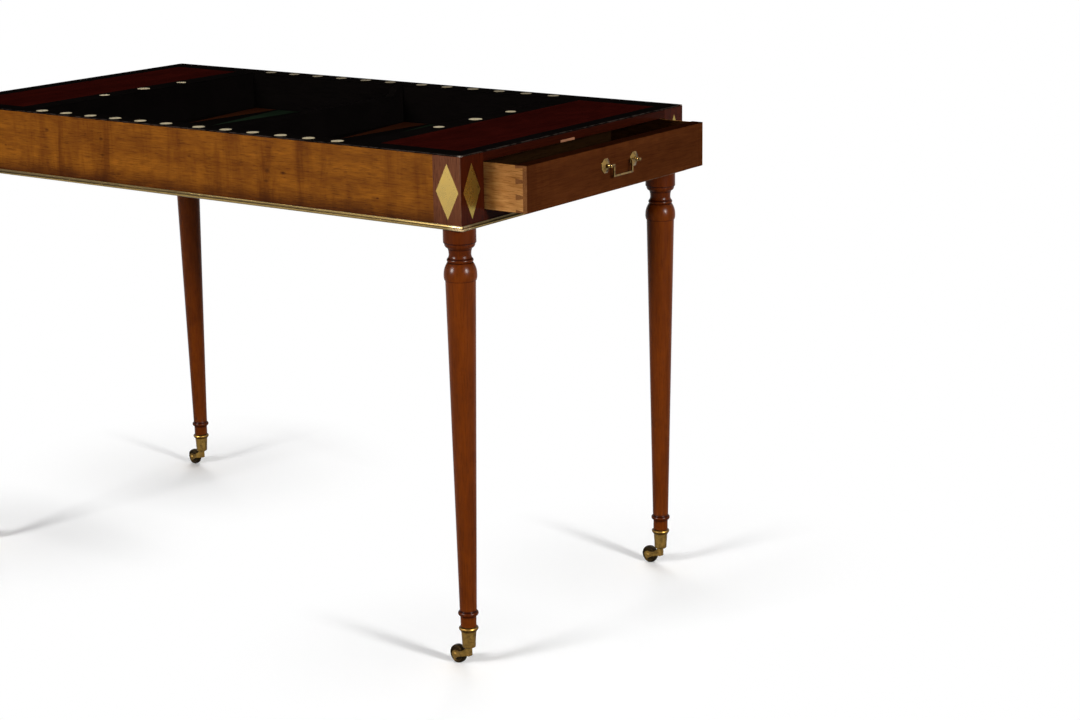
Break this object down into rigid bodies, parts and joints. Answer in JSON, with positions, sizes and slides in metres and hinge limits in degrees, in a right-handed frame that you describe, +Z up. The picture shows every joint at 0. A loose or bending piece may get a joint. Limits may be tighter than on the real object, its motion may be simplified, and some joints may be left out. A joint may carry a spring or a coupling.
{
  "type": "tric-trac table",
  "caption": "Mahogany games table with a sunk ebonised playing well, bone peg discs, end drawers and turned legs on brass casters.",
  "frame": {"origin": "on the floor under the centre of the table", "axes": "+X along the table towards the pictured drawer end, +Y to the back, +Z up"},
  "size_m": [1.1274, 0.562, 0.73],
  "materials": {
    "mahogany": "french polished",
    "block_mahogany": "french polished",
    "leg_mahogany": "french polished",
    "panel_mahogany": "polished",
    "ebonised_wood": "ebonised, satin",
    "bone": "polished bone",
    "brass": "aged satin",
    "wheel_brass": "dark patina",
    "drawer_oak": "bare",
    "inner_oak": "bare",
    "red_point_wood": "polished",
    "green_point_wood": "stained, polished"
  },
  "bodies": {
    "table": {"back_apron": "mahogany", "front_apron": "mahogany", "left_top_rail": "mahogany", "right_top_rail": "mahogany", "right_bottom_rail": "mahogany", "left_bottom_rail": "mahogany", "corner_block_front_right": "block_mahogany", "corner_block_front_left": "block_mahogany", "corner_block_back_right": "block_mahogany", "corner_block_back_left": "block_mahogany", "leg_front_right": "leg_mahogany", "leg_front_left": "leg_mahogany", "leg_back_right": "leg_mahogany", "leg_back_left": "leg_mahogany", "right_end_panel": "panel_mahogany", "left_end_panel": "panel_mahogany", "long_rims": "ebonised_wood", "end_rims": "ebonised_wood", "well_bands": "ebonised_wood", "well_linings": "ebonised_wood", "well_end_walls": "ebonised_wood", "well_floor": "ebonised_wood", "well_divider": "ebonised_wood", "bone_discs": "bone", "brass_moulding": "brass", "brass_lozenges": "brass", "caster_cups": "brass", "top_rail_slip": "drawer_oak", "floor_cleats": "inner_oak", "panel_bearers": "inner_oak", "drawer_runners": "inner_oak", "drawer_stops": "inner_oak", "red_points": "red_point_wood", "green_points": "green_point_wood"},
    "right_drawer": {"right_drawer_front": "mahogany", "right_pull_rosettes": "brass", "right_pull_posts": "brass", "right_drawer_sides": "drawer_oak", "right_drawer_back": "drawer_oak", "right_drawer_bottom": "drawer_oak"},
    "left_drawer": {"left_drawer_front": "mahogany", "left_pull_rosettes": "brass", "left_pull_posts": "brass", "left_drawer_sides": "drawer_oak", "left_drawer_back": "drawer_oak", "left_drawer_bottom": "drawer_oak"},
    "right_bail": {"right_pull_bail": "brass"},
    "left_bail": {"left_pull_bail": "brass"},
    "swivel_front_right": {"caster_horn_front_right": "brass", "caster_axle_front_right": "brass"},
    "wheel_front_right": {"caster_wheel_front_right": "wheel_brass"},
    "swivel_front_left": {"caster_horn_front_left": "brass", "caster_axle_front_left": "brass"},
    "wheel_front_left": {"caster_wheel_front_left": "wheel_brass"},
    "swivel_back_right": {"caster_horn_back_right": "brass", "caster_axle_back_right": "brass"},
    "wheel_back_right": {"caster_wheel_back_right": "wheel_brass"},
    "swivel_back_left": {"caster_horn_back_left": "brass", "caster_axle_back_left": "brass"},
    "wheel_back_left": {"caster_wheel_back_left": "wheel_brass"}
  },
  "joints": [
    {"name": "right_drawer_slide", "type": "slide", "parent": "table", "child": "right_drawer", "axis": [1, 0, 0], "range_m": [-0.068, 0.052]},
    {"name": "left_drawer_slide", "type": "slide", "parent": "table", "child": "left_drawer", "axis": [-1, 0, 0], "range_m": [0, 0.12]},
    {"name": "right_bail_swing", "type": "hinge", "parent": "right_drawer", "child": "right_bail", "pos_m": [0.5917, 0, 0.688], "axis": [0, -1, 0], "range_deg": [-12, 100]},
    {"name": "left_bail_swing", "type": "hinge", "parent": "left_drawer", "child": "left_bail", "pos_m": [-0.5237, 0, 0.688], "axis": [0, 1, 0], "range_deg": [-12, 100]},
    {"name": "swivel_front_right_turn", "type": "hinge", "parent": "table", "child": "swivel_front_right", "pos_m": [0.494, -0.2515, 0.0289], "axis": [0, 0, 1], "continuous": true},
    {"name": "wheel_front_right_spin", "type": "hinge", "parent": "swivel_front_right", "child": "wheel_front_right", "pos_m": [0.47233, -0.24768, 0.0135], "axis": [0.1736, 0.9848, 0], "continuous": true},
    {"name": "swivel_front_left_turn", "type": "hinge", "parent": "table", "child": "swivel_front_left", "pos_m": [-0.494, -0.2515, 0.0289], "axis": [0, 0, 1], "continuous": true},
    {"name": "wheel_front_left_spin", "type": "hinge", "parent": "swivel_front_left", "child": "wheel_front_left", "pos_m": [-0.51567, -0.24768, 0.0135], "axis": [0.1736, 0.9848, 0], "continuous": true},
    {"name": "swivel_back_right_turn", "type": "hinge", "parent": "table", "child": "swivel_back_right", "pos_m": [0.494, 0.2515, 0.0289], "axis": [0, 0, 1], "continuous": true},
    {"name": "wheel_back_right_spin", "type": "hinge", "parent": "swivel_back_right", "child": "wheel_back_right", "pos_m": [0.47233, 0.25532, 0.0135], "axis": [0.1736, 0.9848, 0], "continuous": true},
    {"name": "swivel_back_left_turn", "type": "hinge", "parent": "table", "child": "swivel_back_left", "pos_m": [-0.494, 0.2515, 0.0289], "axis": [0, 0, 1], "continuous": true},
    {"name": "wheel_back_left_spin", "type": "hinge", "parent": "swivel_back_left", "child": "wheel_back_left", "pos_m": [-0.51567, 0.25532, 0.0135], "axis": [0.1736, 0.9848, 0], "continuous": true}
  ]
}
